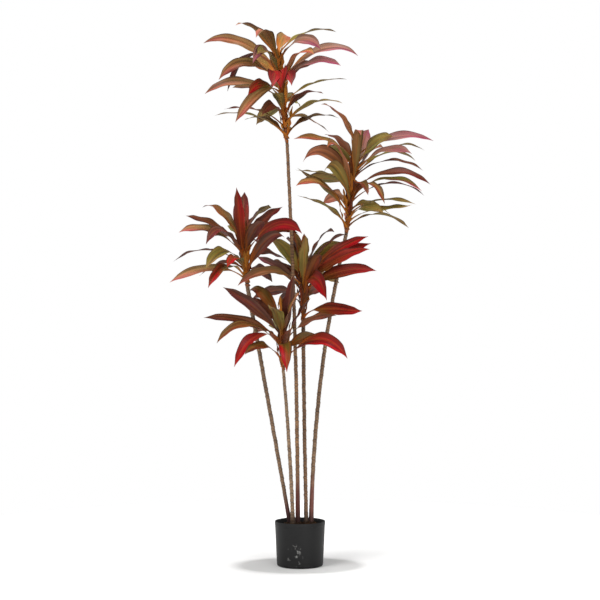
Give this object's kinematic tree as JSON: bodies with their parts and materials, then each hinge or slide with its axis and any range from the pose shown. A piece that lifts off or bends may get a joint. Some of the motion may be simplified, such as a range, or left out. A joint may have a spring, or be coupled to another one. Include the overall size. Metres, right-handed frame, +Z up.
{
  "type": "artificial potted cordyline",
  "caption": "Artificial cordyline house plant: slender ringed stems of different heights stand in a plain dark pot, each ending in a crown of long arching red, bronze and olive leaves.",
  "frame": {"origin": "middle of the flat underside of the pot, on the floor", "axes": "+Z up along the plant; -Y towards the front of the plant, the side the picture shows; +X to the right as seen from the front"},
  "size_m": [0.876, 0.7832, 1.7908],
  "materials": {
    "pot_plastic": "matte charcoal moulded plastic",
    "potting_fill": "set cement weight under brown coir fibre",
    "stem_plastic": "matte beige-brown plastic with fine leaf-scar rings",
    "leaf_fabric": "printed polyester leaves in red, bronze, wine and olive with a soft sheen"
  },
  "bodies": {
    "root": {"pot": "pot_plastic", "potting_fill": "potting_fill", "stem_tall": "stem_plastic", "stem_right": "stem_plastic", "stem_left": "stem_plastic", "stem_centre": "stem_plastic", "stem_front": "stem_plastic", "crown_top": "leaf_fabric", "crown_right": "leaf_fabric", "crown_left": "leaf_fabric", "crown_centre": "leaf_fabric", "crown_front": "leaf_fabric"}
  },
  "joints": []
}
